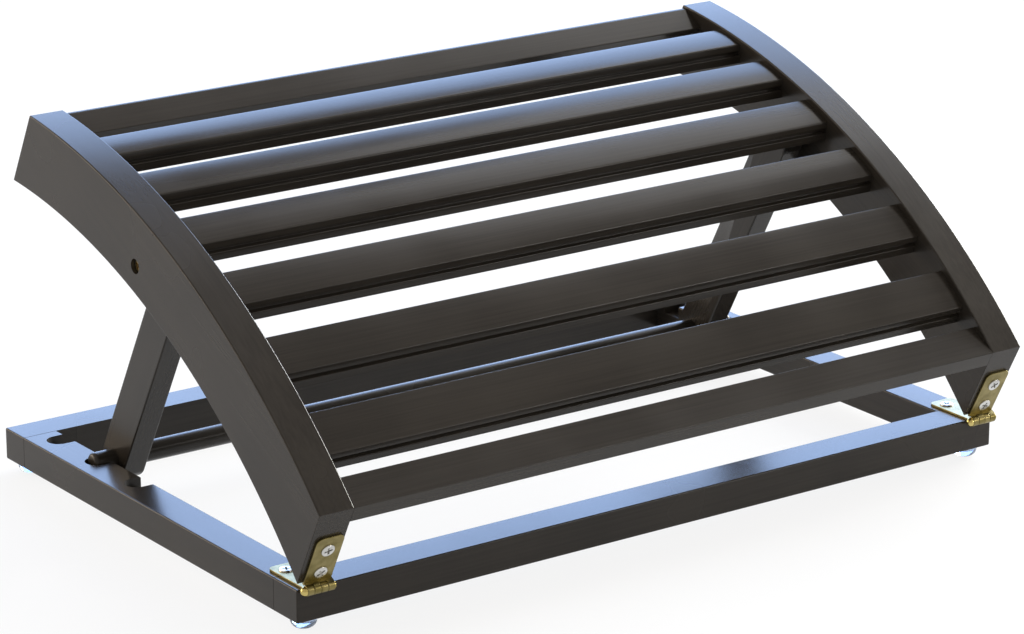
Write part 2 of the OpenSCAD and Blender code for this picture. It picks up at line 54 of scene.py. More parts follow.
BASE_W, BASE_D, RAIL_H = 460, 300, 18
FRONT_RAIL_W, BACK_RAIL_W, SIDE_RAIL_W = 22, 21, 21
HALF_W = BASE_W / 2
NOTCHES = (181.0, 222.9, 264.8)
NOTCH_W, NOTCH_REACH, NOTCH_DEPTH = 14, 13.5, 7.2
RAIL_EDGE, BUTT_EASE, CROSS_EASE = 0.9, 0.25, 0.35
SEAMS = (FRONT_RAIL_W, BASE_D - BACK_RAIL_W)
HINGE_OUT = 3
NEAR, PAST = 0.01, 2
SHARP_EDGE, SHADED_EDGE = radians(25), radians(34)

axes = {j["name"]: Vector(j["pos_m"]) for j in frame["joints"]}
hinge_axis, pivot_axis = axes["tread_hinge"], axes["support_pivot"]
in_mm = Matrix.Scale(MM, 4)
on_base = Matrix.Translation(hinge_axis) @ in_mm @ Matrix.Translation((0, HINGE_OUT, 0))


def block(low, high):
    """A squared blank between two corners."""
    bm = bmesh.new()
    bmesh.ops.create_cube(bm, size=1.0)
    low, high = Vector(low), Vector(high)
    bmesh.ops.transform(
        bm,
        matrix=Matrix.Translation((low + high) / 2) @ Matrix.Diagonal((*(high - low), 1)),
        verts=bm.verts,
    )
    return bm


def dowel(radius, length, place, steps=64):
    """A round blank along its own Z, from height zero up."""
    bm = bmesh.new()
    bmesh.ops.create_cone(
        bm,
        cap_ends=True,
        segments=steps,
        radius1=radius,
        radius2=radius,
        depth=length,
        matrix=place @ Matrix.Translation((0, 0, length / 2)),
    )
    return bm


def gathered(blanks):
    """Several loose blanks in one mesh."""
    bm = bmesh.new()
    for blank in blanks:
        mesh = bpy.data.meshes.new("blank")
        blank.to_mesh(mesh)
        blank.free()
        bm.from_mesh(mesh)
        bpy.data.meshes.remove(mesh)
    return bm


def worked(bm, tool, **settings):
    """The blank after one pass of a Bevel or Boolean with these settings."""
    bmesh.ops.recalc_face_normals(bm, faces=bm.faces)
    mesh = bpy.data.meshes.new("blank")
    bm.to_mesh(mesh)
    bm.free()
    blank = bpy.data.objects.new("blank", mesh)
    bpy.context.scene.collection.objects.link(blank)
    modifier = blank.modifiers.new(tool, tool)
    for name, value in settings.items():
        setattr(modifier, name, value)
    done = bmesh.new()
    done.from_mesh(blank.evaluated_get(bpy.context.evaluated_depsgraph_get()).data)
    bpy.data.objects.remove(blank)
    bpy.data.meshes.remove(mesh)
    return done


def cut(bm, tool, operation="DIFFERENCE"):
    """The piece with the tool's shape cut out of it, or united with it."""
    bmesh.ops.recalc_face_normals(tool, faces=tool.faces)
    mesh = bpy.data.meshes.new("tool")
    tool.to_mesh(mesh)
    tool.free()
    cutter = bpy.data.objects.new("tool", mesh)
    bpy.context.scene.collection.objects.link(cutter)
    done = worked(bm, "BOOLEAN", operation=operation, solver="EXACT", use_self=True, object=cutter)
    bpy.data.objects.remove(cutter)
    bpy.data.meshes.remove(mesh)
    return done


def rounded(bm, radius, share=None, segments=3):
    """The piece with its sharp edges rounded, each by its share of the radius."""
    weight = bm.edges.layers.float.new("bevel_weight_edge")
    for edge in bm.edges:
        if len(edge.link_faces) == 2 and edge.calc_face_angle(0) > SHARP_EDGE:
            edge[weight] = share(edge) if share else 1.0
    return worked(
        bm, "BEVEL", width=radius, segments=segments, limit_method="WEIGHT", use_clamp_overlap=False
    )


def fit_piece(bm, place, node, finish, body, material):
    """Puts a finished piece in its place, where it stands for its CAD node."""
    bmesh.ops.transform(bm, matrix=place, verts=bm.verts)
    bmesh.ops.remove_doubles(bm, verts=bm.verts, dist=0.000002)
    bmesh.ops.recalc_face_normals(bm, faces=bm.faces)
    mesh = bpy.data.meshes.new(f"{node}_{finish}")
    bm.to_mesh(mesh)
    bm.free()
    mesh.shade_smooth()
    mesh.set_sharp_from_angle(angle=SHADED_EDGE)
    mesh.materials.clear()
    mesh.materials.append(material)
    piece = bpy.data.objects.new(mesh.name, mesh)
    bpy.context.scene.collection.objects.link(piece)
    even = piece.modifiers.new("even_shading", "WEIGHTED_NORMAL")
    even.keep_sharp = True
    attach(piece, body)
    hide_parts(node)
    return piece


def new_material(name):
    """A material with its shader, and a maker of further nodes wired by name."""
    material = bpy.data.materials.new(name)
    material.use_nodes = True
    tree = material.node_tree
    shader = tree.nodes["Principled BSDF"]

    def node(kind, inputs=(), **settings):
        made = tree.nodes.new(kind)
        for key, value in settings.items():
            setattr(made, key, value)
        for key, value in dict(inputs).items():
            if isinstance(value, bpy.types.NodeSocket):
                tree.links.new(value, made.inputs[key])
            else:
                made.inputs[key].default_value = value
        return made

    return material, shader, node, tree.links


def lacquer(name, dark, pale, cell, turn=0.0, gloss=(0.22, 0.29)):
    """Satin lacquer on bamboo: cell is the size of a grain streak, turned about X."""
    material, shader, node, links = new_material(name)
    place = node("ShaderNodeTexCoord").outputs["Object"]
    along = node(
        "ShaderNodeMapping",
        {"Vector": place, "Rotation": (turn, 0, 0), "Scale": cell},
        vector_type="TEXTURE",
    ).outputs["Vector"]
    streaks = node(
        "ShaderNodeTexNoise", {"Vector": along, "Scale": 1.0, "Detail": 4.0, "Roughness": 0.6}
    ).outputs["Fac"]
    clouds = node(
        "ShaderNodeTexNoise", {"Vector": place, "Scale": 14.0, "Detail": 2.0}
    ).outputs["Fac"]
    peel = node(
        "ShaderNodeTexNoise", {"Vector": place, "Scale": 620.0, "Detail": 1.0}
    ).outputs["Fac"]
    both = node(
        "ShaderNodeMath", {0: streaks, 1: clouds}, operation="ADD"
    ).outputs["Value"]
    tone = node(
        "ShaderNodeMapRange",
        {"Value": both, "From Min": 0.6, "From Max": 1.4},
        interpolation_type="SMOOTHSTEP",
    ).outputs["Result"]
    colour = node("ShaderNodeMix", {"Factor": tone}, data_type="RGBA")
    colour.inputs["A"].default_value = (*dark, 1)
    colour.inputs["B"].default_value = (*pale, 1)
    links.new(colour.outputs["Result"], shader.inputs["Base Color"])
    rough = node(
        "ShaderNodeMapRange",
        {"Value": clouds, "From Min": 0.2, "From Max": 0.8, "To Min": gloss[0], "To Max": gloss[1]},
        interpolation_type="SMOOTHSTEP",
    ).outputs["Result"]
    links.new(rough, shader.inputs["Roughness"])
    fine = node(
        "ShaderNodeBump", {"Height": streaks, "Strength": 0.35, "Distance": 0.00004}
    ).outputs["Normal"]
    skin = node(
        "ShaderNodeBump", {"Height": peel, "Strength": 0.25, "Distance": 0.00002, "Normal": fine}
    ).outputs["Normal"]
    links.new(skin, shader.inputs["Normal"])
    shader.inputs["IOR"].default_value = 1.5
    shader.inputs["Specular IOR Level"].default_value = 0.2
    shader.inputs["Coat Weight"].default_value = 0.07
    shader.inputs["Coat Roughness"].default_value = 0.16
    return material


FRAME_DARK, FRAME_PALE = (0.016, 0.0134, 0.0106), (0.028, 0.0236, 0.0188)
rails_across = lacquer("frame_lacquer_across", FRAME_DARK, FRAME_PALE, (0.09, 0.0016, 0.0016))
rails_along = lacquer("frame_lacquer_along", FRAME_DARK, FRAME_PALE, (0.0016, 0.09, 0.0016))


def at_seam(edge):
    """Whether an edge lies where the side rails butt against the cross rails."""
    return any(all(abs(v.co.y - seam) < NEAR for v in edge.verts) for seam in SEAMS)


def cross_rail_edges(edge):
    """The cross rails are eased all round, but lightly where the side rails meet them."""
    return CROSS_EASE if at_seam(edge) else 1.0


def side_rail_edges(edge):
    """The side rails are eased all round, and least at their butted ends."""
    return BUTT_EASE if at_seam(edge) else 1.0


for name, low, high in (
    ("base_front_rail", 0, FRONT_RAIL_W),
    ("base_back_rail", BASE_D - BACK_RAIL_W, BASE_D),
):
    rail = rounded(block((-HALF_W, low, -RAIL_H), (HALF_W, high, 0)), RAIL_EDGE, cross_rail_edges)
    fit_piece(rail, on_base, name, "lacquered", "base", rails_across)

for name, side in SIDES.items():
    inner, outer = side * (HALF_W - SIDE_RAIL_W), side * HALF_W
    rail = block(
        (min(inner, outer), FRONT_RAIL_W, -RAIL_H),
        (max(inner, outer), BASE_D - BACK_RAIL_W, 0),
    )
    rail = rounded(rail, RAIL_EDGE, side_rail_edges)
    end_x = side * (abs(inner) + NOTCH_REACH - NOTCH_W / 2)
    mouth_x = side * (abs(inner) - PAST)
    for y in NOTCHES:
        slot = block(
            (min(mouth_x, end_x), y - NOTCH_W / 2, -NOTCH_DEPTH),
            (max(mouth_x, end_x), y + NOTCH_W / 2, PAST),
        )
        end = dowel(NOTCH_W / 2, NOTCH_DEPTH + PAST, Matrix.Translation((end_x, y, -NOTCH_DEPTH)))
        rail = cut(rail, cut(slot, end, "UNION"))
    fit_piece(rail, on_base, f"base_{name}_rail", "lacquered", "base", rails_along)

# The corner dowels are turned from bare beech, two to a corner. They are glued into
# the rails' ends and stay hidden.
dowel_wood, shader, node, links = new_material("bare_dowel_wood")
place = node("ShaderNodeTexCoord").outputs["Object"]
fibres = node(
    "ShaderNodeMapping",
    {"Vector": place, "Scale": (0.0008, 0.02, 0.0008)},
    vector_type="TEXTURE",
).outputs["Vector"]
fibre = node("ShaderNodeTexNoise", {"Vector": fibres, "Scale": 1.0, "Detail": 3.0}).outputs["Fac"]
colour = node("ShaderNodeMix", {"Factor": fibre}, data_type="RGBA")
colour.inputs["A"].default_value = (0.40, 0.27, 0.15, 1)
colour.inputs["B"].default_value = (0.62, 0.46, 0.29, 1)
links.new(colour.outputs["Result"], shader.inputs["Base Color"])
shader.inputs["Roughness"].default_value = 0.7
for slot in frame["nodes"]["corner_dowels"].material_slots:
    slot.material = dowel_wood

# The feet are clear, slightly blue polyurethane bumpers with rounded undersides, stuck
# under the corners of the base frame.
FOOT_D, FOOT_H, FOOT_ROUND, FOOT_INSET, FOOT_RIM = 14, 6.5, 4.4, 10, 0.4


def turned(points, steps=64, closed=False):
    """A piece turned on the lathe from (radius, height) points, about its own Z."""
    bm = bmesh.new()
    verts = [bm.verts.new((radius, 0, height)) for radius, height in points]
    edges = [bm.edges.new(pair) for pair in zip(verts, verts[1:])]
    if closed:
        edges.append(bm.edges.new((verts[-1], verts[0])))
    bmesh.ops.spin(
        bm,
        geom=verts + edges,
        cent=(0, 0, 0),
        axis=(0, 0, 1),
        angle=2 * pi,
        steps=steps,
        use_merge=True,
    )
    bmesh.ops.remove_doubles(bm, verts=bm.verts, dist=0.0001)
    bmesh.ops.recalc_face_normals(bm, faces=bm.faces)
    return bm


def quarter(centre, radius, start, end, steps=8):
    """Points of an arc on a lathe profile, between two angles in degrees."""
    angles = (radians(start + (end - start) * i / steps) for i in range(steps + 1))
    return [(centre[0] + radius * cos(a), centre[1] + radius * sin(a)) for a in angles]


rubber, shader, node, links = new_material("clear_bumper")
place = node("ShaderNodeTexCoord").outputs["Object"]
haze = node(
    "ShaderNodeTexNoise", {"Vector": place, "Scale": 300.0, "Detail": 2.0}
).outputs["Fac"]
rough = node(
    "ShaderNodeMapRange", {"Value": haze, "To Min": 0.04, "To Max": 0.16}
).outputs["Result"]
links.new(rough, shader.inputs["Roughness"])
colour = node("ShaderNodeMix", {"Factor": haze}, data_type="RGBA")
colour.inputs["A"].default_value = (0.36, 0.52, 0.86, 1)
colour.inputs["B"].default_value = (0.62, 0.74, 0.92, 1)
links.new(colour.outputs["Result"], shader.inputs["Base Color"])
shader.inputs["Transmission Weight"].default_value = 0.75
shader.inputs["IOR"].default_value = 1.46

foot_r = FOOT_D / 2
foot_core = foot_r - FOOT_ROUND
for end, y in (("front", FOOT_INSET), ("back", BASE_D - FOOT_INSET)):
    for name, side in SIDES.items():
        points = [(0, 0)]
        points += quarter((foot_core, FOOT_ROUND), FOOT_ROUND, -90, 0, 10)
        points += quarter((foot_r - FOOT_RIM, FOOT_H - FOOT_RIM), FOOT_RIM, 0, 90, 3)
        points += [(0, FOOT_H)]
        spot = Matrix.Translation((side * (HALF_W - FOOT_INSET), y, -RAIL_H - FOOT_H))
        bumper = turned(points)
        fit_piece(
            bumper, on_base @ spot, f"{end}_{name}_foot", "clear", "base", rubber
        )

# The arms are sawn from glued bamboo board as two arches, eased along their edges and
# lacquered. Stopped mortises take the slats, and a counterbored hole takes the pivot.
TILT = radians(27.2154)
ARM_T, ARM_LEN, ARM_SETBACK, SEAT_GAP = 20.5, 314, 1.2, 1.9
ARM_END_H, TOP_RISE, CREST_LEAD, UNDER_RISE = 47.9, 26.1, 3.3, 30.9
ARM_EDGE, ARM_END_EASE, ARM_UNDER_EASE = 0.8, 0.35, 0.8
ARM_STEPS = 72
ARM_IN = HALF_W - ARM_T
half_chord = ARM_LEN / 2
arm_back = ARM_SETBACK + ARM_LEN
arch_mid = ARM_SETBACK + half_chord
crest_y = arch_mid - CREST_LEAD
arm_end_top = SEAT_GAP + ARM_END_H
arm_crest = arm_end_top + TOP_RISE
arm_vault = SEAT_GAP + UNDER_RISE


def bow_radius(half, rise):
    """Radius of a bow from half its chord and its rise."""
    return (half**2 + rise**2) / (2 * rise)


top_r = bow_radius(crest_y - ARM_SETBACK, TOP_RISE)
under_r = bow_radius(half_chord, UNDER_RISE)
on_tread = (
    Matrix.Translation(hinge_axis)
    @ Matrix.Rotation(TILT, 4, "X")
    @ in_mm
    @ Matrix.Translation((0, HINGE_OUT, 0))
)


def bow_height(y, middle, crest, radius):
    """Height of an arch's curve at a distance from the front."""
    return crest - radius + sqrt(radius**2 - (y - middle) ** 2)


def under_height(y):
    """Height of an arm's underside at a distance from the front."""
    return bow_height(y, arch_mid, arm_vault, under_r)


def arm_blank(side):
    """The arch sawn from the board: a bar bent between the two bows."""
    inner, outer = side * ARM_IN, side * HALF_W
    bm = block((min(inner, outer), ARM_SETBACK, 0), (max(inner, outer), arm_back, 1))
    long_edges = [e for e in bm.edges if abs(e.verts[0].co.y - e.verts[1].co.y) > 1]
    bmesh.ops.subdivide_edges(bm, edges=long_edges, cuts=ARM_STEPS, use_grid_fill=True)
    for v in bm.verts:
        if v.co.z > 0.5:
            v.co.z = bow_height(v.co.y, crest_y, arm_crest, top_r)
        else:
            v.co.z = under_height(v.co.y)
    return bm


def arm_edges(edge):
    """The long edges are eased most along the top, and the sawn ends least."""
    a, b = (v.co for v in edge.verts)
    if abs(a.y - b.y) < NEAR:
        return ARM_END_EASE
    return 1.0 if a.z > under_height(a.y) + ARM_T / 4 else ARM_UNDER_EASE


# Places of the slats, whose arch is a little flatter and lower than the arms' top edge
SLAT_T, SLAT_RECESS, SLAT_BACK_RECESS, SLAT_CROWN = 11.4, 3.8, 1.4, 0.6
MIDDLE_SLAT_W, MIDDLE_STEP, MIDDLE_COUNT = 20.7, 0.9, 6
MIDDLE_START, MIDDLE_END, MIDDLE_SPREAD = 56, 33.4, 2
END_SLAT_W, END_SLAT_T, END_SLOPE = 20, 9.9, radians(4)
TENON_LEN, TENON_T, TENON_SHOULDER = 10, 6, 3.4
END_TENON_T, END_TENON_DOWN = 4.8, 5.445
SNUG = 0.05
arm_back_top = bow_height(arm_back, crest_y, arm_crest, top_r)
slats_crest = arm_crest - SLAT_RECESS
slats_r = bow_radius(half_chord, slats_crest - arm_back_top + SLAT_BACK_RECESS)
half_arc = asin(half_chord / slats_r)


def on_arch(from_back):
    """Frame of a slat whose middle lies this far along the arch from the back."""
    angle = half_arc - from_back / slats_r
    return (
        Matrix.Translation((0, arch_mid, slats_crest - slats_r))
        @ Matrix.Rotation(-angle, 4, "X")
        @ Matrix.Translation((0, 0, slats_r))
    )


def at_end(y, z, inwards):
    """Frame of a plain slat whose outer top edge is an arm's end corner."""
    middle = Matrix.Translation((0, inwards * END_SLAT_W / 2, 0))
    return Matrix.Translation((0, y, z)) @ Matrix.Rotation(END_SLOPE, 4, "X") @ middle


arc_len = 2 * half_arc * slats_r
gaps = MIDDLE_COUNT - 1
pitch = (arc_len - MIDDLE_START - MIDDLE_END - MIDDLE_SPREAD * gaps * (gaps - 1) / 2) / gaps
middle_slats = []
for i in range(MIDDLE_COUNT):
    width = MIDDLE_SLAT_W + i * MIDDLE_STEP
    front = MIDDLE_START + i * pitch + MIDDLE_SPREAD * i * (i - 1) / 2
    middle_slats.append((f"slat_{i + 2}", width, on_arch(front - width / 2)))
end_slats = (
    ("slat_1", (arm_back, arm_back_top), -1),
    ("slat_8", (ARM_SETBACK, arm_end_top), 1),
)


def tenon(width, spare, low_x, high_x):
    """A middle slat's tenon in its slat's frame, or its mortise with a little spare."""
    half = width / 2 - TENON_SHOULDER + spare
    middle, tall = -(SLAT_T + SLAT_CROWN) / 2, TENON_T / 2 + spare
    return block((low_x, -half, middle - tall), (high_x, half, middle + tall))


def end_tenon(corner, inwards, spare, low_x, high_x):
    """The thinner tenon of a slat at the arms' ends, in the arms' frame."""
    half = END_SLAT_W / 2 - TENON_SHOULDER + spare
    middle, tall = -END_TENON_DOWN, END_TENON_T / 2 + spare
    bm = block((low_x, -half, middle - tall), (high_x, half, middle + tall))
    bmesh.ops.transform(bm, matrix=at_end(*corner, inwards), verts=bm.verts)
    return bm


def tenons_of_arm(side, spare):
    """Mortise blocks of all eight slats in one arm."""
    reach = side * (ARM_IN + TENON_LEN + spare)
    mouth = side * (ARM_IN - PAST)
    span = (min(reach, mouth), max(reach, mouth))
    blocks = [end_tenon(corner, inwards, spare, *span) for name, corner, inwards in end_slats]
    for name, width, spot in middle_slats:
        mortise = tenon(width, spare, *span)
        bmesh.ops.transform(mortise, matrix=spot, verts=mortise.verts)
        blocks.append(mortise)
    return gathered(blocks)


PIVOT_BACK, LEG_TOP_GAP, LEG_W = 192.5, 1.9, 23.4
PIVOT_SCREW_D, PIVOT_HEAD_D, PIVOT_HEAD_H, PIVOT_SINK = 4.2, 7.5, 2.4, 2.1
RUNNING, FREE_GAP = 0.08, 0.3
pivot_y = ARM_SETBACK + PIVOT_BACK
pivot_arc_r = slats_r - SLAT_T - LEG_TOP_GAP - LEG_W / 2
pivot_z = bow_height(pivot_y, arch_mid, slats_crest - slats_r + pivot_arc_r, pivot_arc_r)
arm_wood = lacquer("arm_lacquer", FRAME_DARK, FRAME_PALE, (0.0016, 0.09, 0.0016), TILT)
for name, side in SIDES.items():
    arm = rounded(arm_blank(side), ARM_EDGE, arm_edges, segments=4)
    arm = cut(arm, tenons_of_arm(side, SNUG))
    sink, bore = PIVOT_HEAD_D / 2 + FREE_GAP, PIVOT_SCREW_D / 2 + RUNNING
    floor = PIVOT_SINK + PIVOT_HEAD_H
    through = ARM_T + PAST
    drill = turned(
        [(0, -PAST), (sink, -PAST), (sink, floor), (bore, floor), (bore, through), (0, through)]
    )
    spot = Matrix.Translation((side * HALF_W, pivot_y, pivot_z))
    inwards = Matrix.Rotation(-side * pi / 2, 4, "Y")
    bmesh.ops.transform(drill, matrix=spot @ inwards, verts=drill.verts)
    arm = cut(arm, drill)
    fit_piece(arm, on_tread, f"{name}_arm", "lacquered", "tread", arm_wood)

# The slats are moulded bamboo strips. The six middle ones have a crowned top and edges
# that flare out downwards, with a groove along each. The front and back ones are thinner
# and plain. Tenons at both ends go into the arms.
GROOVE_DEEP, GROOVE_H, GROOVE_DOWN, SLAT_FLARE = 2.2, 2.7, 3.7, 3
SLAT_EDGE, GROOVE_EASE, BACK_SLAT_EDGE = 0.5, 0.7, 4.0
CROWN_STEPS = 14
slat_wood = lacquer(
    "slat_lacquer",
    (0.015, 0.0126, 0.01),
    (0.0265, 0.0224, 0.0178),
    (0.11, 0.0013, 0.0013),
    gloss=(0.18, 0.25),
)


def moulding(points, half_length):
    """A strip with this section, given as (y, z) points, along X."""
    bm = bmesh.new()
    end = bm.faces.new([bm.verts.new((-half_length, y, z)) for y, z in points])
    strip = bmesh.ops.extrude_face_region(bm, geom=[end])["geom"]
    moved = [v for v in strip if isinstance(v, bmesh.types.BMVert)]
    bmesh.ops.translate(bm, vec=(2 * half_length, 0, 0), verts=moved)
    bmesh.ops.recalc_face_normals(bm, faces=bm.faces)
    return bm


def slat_section(width):
    """Section of a crowned slat with a groove in each flank, from its lower left corner."""
    half, crown_r = width / 2, bow_radius(width / 2, SLAT_CROWN)
    groove_top = -SLAT_CROWN - GROOVE_DOWN
    groove_low = groove_top - GROOVE_H

    def flank(z):
        return half - SLAT_FLARE * (z + SLAT_CROWN) / (SLAT_T - SLAT_CROWN)

    wall = flank((groove_top + groove_low) / 2) - GROOVE_DEEP
    edge = [
        (flank(-SLAT_T), -SLAT_T),
        (flank(groove_low), groove_low),
        (wall, groove_low),
        (wall, groove_top),
        (flank(groove_top), groove_top),
    ]
    crown = []
    for i in range(CROWN_STEPS + 1):
        y = half - width * i / CROWN_STEPS
        crown.append((y, sqrt(crown_r**2 - y**2) - crown_r))
    return edge + crown + [(-y, z) for y, z in reversed(edge)]


def lengthways(edge):
    """Whether an edge runs along a slat and not round its end."""
    return abs(edge.verts[0].co.x - edge.verts[1].co.x) > 1


def slat_edges(edge):
    """The top edges and the groove's lips are rounded a little, and the ends not at all."""
    if not lengthways(edge):
        return 0.0
    return 1.0 if edge.verts[0].co.z > -SLAT_CROWN - 1 else GROOVE_EASE


reach = ARM_IN + TENON_LEN
for name, width, spot in middle_slats:
    slat = rounded(moulding(slat_section(width), ARM_IN), SLAT_EDGE, slat_edges)
    slat = cut(slat, tenon(width, 0, -reach, reach), "UNION")
    fit_piece(slat, on_tread @ spot, name, "lacquered", "tread", slat_wood)


def plain_edges(edge):
    """The back slat's outer top edge is well rounded, every other long edge only eased."""
    if not lengthways(edge):
        return 0.0
    spot = edge.verts[0].co
    outer_top = spot.y > arm_back - NEAR and spot.z > arm_back_top - NEAR
    return 1.0 if outer_top else SLAT_EDGE / BACK_SLAT_EDGE


slope = Matrix.Rotation(END_SLOPE, 2)
for name, corner, inwards in end_slats:
    top = Vector(corner)
    inner = top + slope @ Vector((inwards * END_SLAT_W, 0))
    down = slope @ Vector((0, -END_SLAT_T))
    section = [top, top + Vector((0, -END_SLAT_T / cos(END_SLOPE))), inner + down, inner]
    slat = rounded(moulding(section, ARM_IN), BACK_SLAT_EDGE, plain_edges)
    slat = cut(slat, end_tenon(corner, inwards, 0, -reach, reach), "UNION")
    fit_piece(slat, on_tread, name, "lacquered", "tread", slat_wood)

# The support is two round-ended legs on a round crossbar, glued together and lacquered.
# It hangs from pivots in the arms, and the crossbar's ends stand in the rails' notches.
LEG_LEN, LEG_T, LEG_GAP, LEG_EDGE = 150.5, 14, 3.7, 1.0
BAR_D, BAR_ROUND, BAR_END_GAP = 11.6, 2.6, 3.7
leg_out = min(ARM_IN, HALF_W - SIDE_RAIL_W) - LEG_GAP
bar_r = BAR_D / 2
bar_end = HALF_W - SIDE_RAIL_W + NOTCH_REACH - BAR_END_GAP
bar_low, bar_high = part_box("crossbar")
bar_axis = (bar_low + bar_high) / 2
lean = atan2(bar_axis.y - pivot_axis.y, pivot_axis.z - bar_axis.z)
on_support = Matrix.Translation(pivot_axis) @ Matrix.Rotation(lean, 4, "X") @ in_mm
SUPPORT_DARK, SUPPORT_PALE = (0.014, 0.0118, 0.0094), (0.0255, 0.0216, 0.0172)
leg_wood = lacquer("support_lacquer", SUPPORT_DARK, SUPPORT_PALE, (0.0015, 0.0015, 0.08), lean)
bar_wood = lacquer("crossbar_lacquer", SUPPORT_DARK, SUPPORT_PALE, (0.08, 0.0015, 0.0015))
crosswise = Matrix.Rotation(pi / 2, 4, "Y")


def leg_edges(edge):
    """The legs' outlines are eased on both faces."""
    return float(abs(edge.verts[0].co.x - edge.verts[1].co.x) < 1)


for name, side in SIDES.items():
    inner = min(side * (leg_out - LEG_T), side * leg_out)
    leg = dowel(LEG_W / 2, LEG_T, Matrix.Translation((inner, 0, 0)) @ crosswise)
    # the round blank is parted along its middle and drawn out to the leg's length
    everything = leg.verts[:] + leg.edges[:] + leg.faces[:]
    bmesh.ops.bisect_plane(leg, geom=everything, plane_co=(0, 0, 0), plane_no=(0, 0, 1))
    for v in leg.verts:
        if v.co.z < -NEAR / 10:
            v.co.z -= LEG_LEN
    leg = rounded(leg, LEG_EDGE, leg_edges)
    hole = dowel(bar_r + SNUG, BASE_W, Matrix.Translation((-HALF_W, 0, -LEG_LEN)) @ crosswise)
    leg = cut(leg, hole)
    fit_piece(leg, on_support, f"{name}_leg", "lacquered", "support", leg_wood)

points = [(0, -bar_end)]
points += quarter((bar_r - BAR_ROUND, BAR_ROUND - bar_end), BAR_ROUND, -90, 0)
points += quarter((bar_r - BAR_ROUND, bar_end - BAR_ROUND), BAR_ROUND, 0, 90)
points += [(0, bar_end)]
fit_piece(
    turned(points),
    on_support @ Matrix.Translation((0, 0, -LEG_LEN)) @ crosswise,
    "crossbar",
    "lacquered",
    "support",
    bar_wood,
)

# The pivot screws are brass with a cross recess. Each turns in its arm, is driven into
# its leg, and carries a dark nylon spacer ring that keeps the leg off the arm.
PIVOT_BITE, PIVOT_SLOT, PIVOT_RIM = 11, 1.3, 0.6
SPACER_D, SPACER_EDGE = 12, 0.3
RECESS_SHARE = 0.6


def metal(name, dark, pale, gloss, cell):
    """Brushed metal: cell is the size of a brush mark."""
    material, shader, node, links = new_material(name)
    place = node("ShaderNodeTexCoord").outputs["Object"]
    along = node(
        "ShaderNodeMapping", {"Vector": place, "Scale": cell}, vector_type="TEXTURE"
    ).outputs["Vector"]
    marks = node(
        "ShaderNodeTexNoise", {"Vector": along, "Scale": 1.0, "Detail": 3.0, "Roughness": 0.65}
    ).outputs["Fac"]
    stain = node(
        "ShaderNodeTexNoise", {"Vector": place, "Scale": 160.0, "Detail": 3.0}
    ).outputs["Fac"]
    mixed = node(
        "ShaderNodeMapRange", {"Value": stain, "From Min": 0.35, "From Max": 0.65}
    ).outputs["Result"]
    colour = node("ShaderNodeMix", {"Factor": mixed}, data_type="RGBA")
    colour.inputs["A"].default_value = (*dark, 1)
    colour.inputs["B"].default_value = (*pale, 1)
    links.new(colour.outputs["Result"], shader.inputs["Base Color"])
    rough = node(
        "ShaderNodeMapRange",
        {"Value": marks, "From Min": 0.3, "From Max": 0.7, "To Min": gloss[0], "To Max": gloss[1]},
    ).outputs["Result"]
    links.new(rough, shader.inputs["Roughness"])
    relief = node(
        "ShaderNodeBump", {"Height": marks, "Strength": 0.3, "Distance": 0.00003}
    ).outputs["Normal"]
    links.new(relief, shader.inputs["Normal"])
    shader.inputs["Metallic"].default_value = 1.0
    return material


old_brass = metal(
    "pivot_brass", (0.42, 0.31, 0.12), (0.66, 0.52, 0.24), (0.2, 0.34), (0.0005, 0.0005, 0.0005)
)


def cross_recess(span, slot, top):
    """The tool for a cross recess cut down from the top of a screw's head."""
    half = slot / 2
    point_deep = slot * 1.3
    a = block((-span / 2, -half, top - slot), (span / 2, half, top + PAST))
    b = block((-half, -span / 2, top - slot), (half, span / 2, top + PAST))
    point = bmesh.new()
    bmesh.ops.create_cone(
        point,
        cap_ends=True,
        segments=24,
        radius1=0.1,
        radius2=span * 0.3,
        depth=point_deep + PAST,
        matrix=Matrix.Translation((0, 0, top - point_deep + (point_deep + PAST) / 2)),
    )
    return cut(cut(a, b, "UNION"), point, "UNION")


nylon, shader, node, links = new_material("black_nylon")
place = node("ShaderNodeTexCoord").outputs["Object"]
grit = node(
    "ShaderNodeTexNoise", {"Vector": place, "Scale": 900.0, "Detail": 2.0}
).outputs["Fac"]
relief = node(
    "ShaderNodeBump", {"Height": grit, "Strength": 0.2, "Distance": 0.00005}
).outputs["Normal"]
links.new(relief, shader.inputs["Normal"])
colour = node("ShaderNodeMix", {"Factor": grit}, data_type="RGBA")
colour.inputs["A"].default_value = (0.012, 0.012, 0.012, 1)
colour.inputs["B"].default_value = (0.028, 0.027, 0.026, 1)
links.new(colour.outputs["Result"], shader.inputs["Base Color"])
shader.inputs["Roughness"].default_value = 0.48

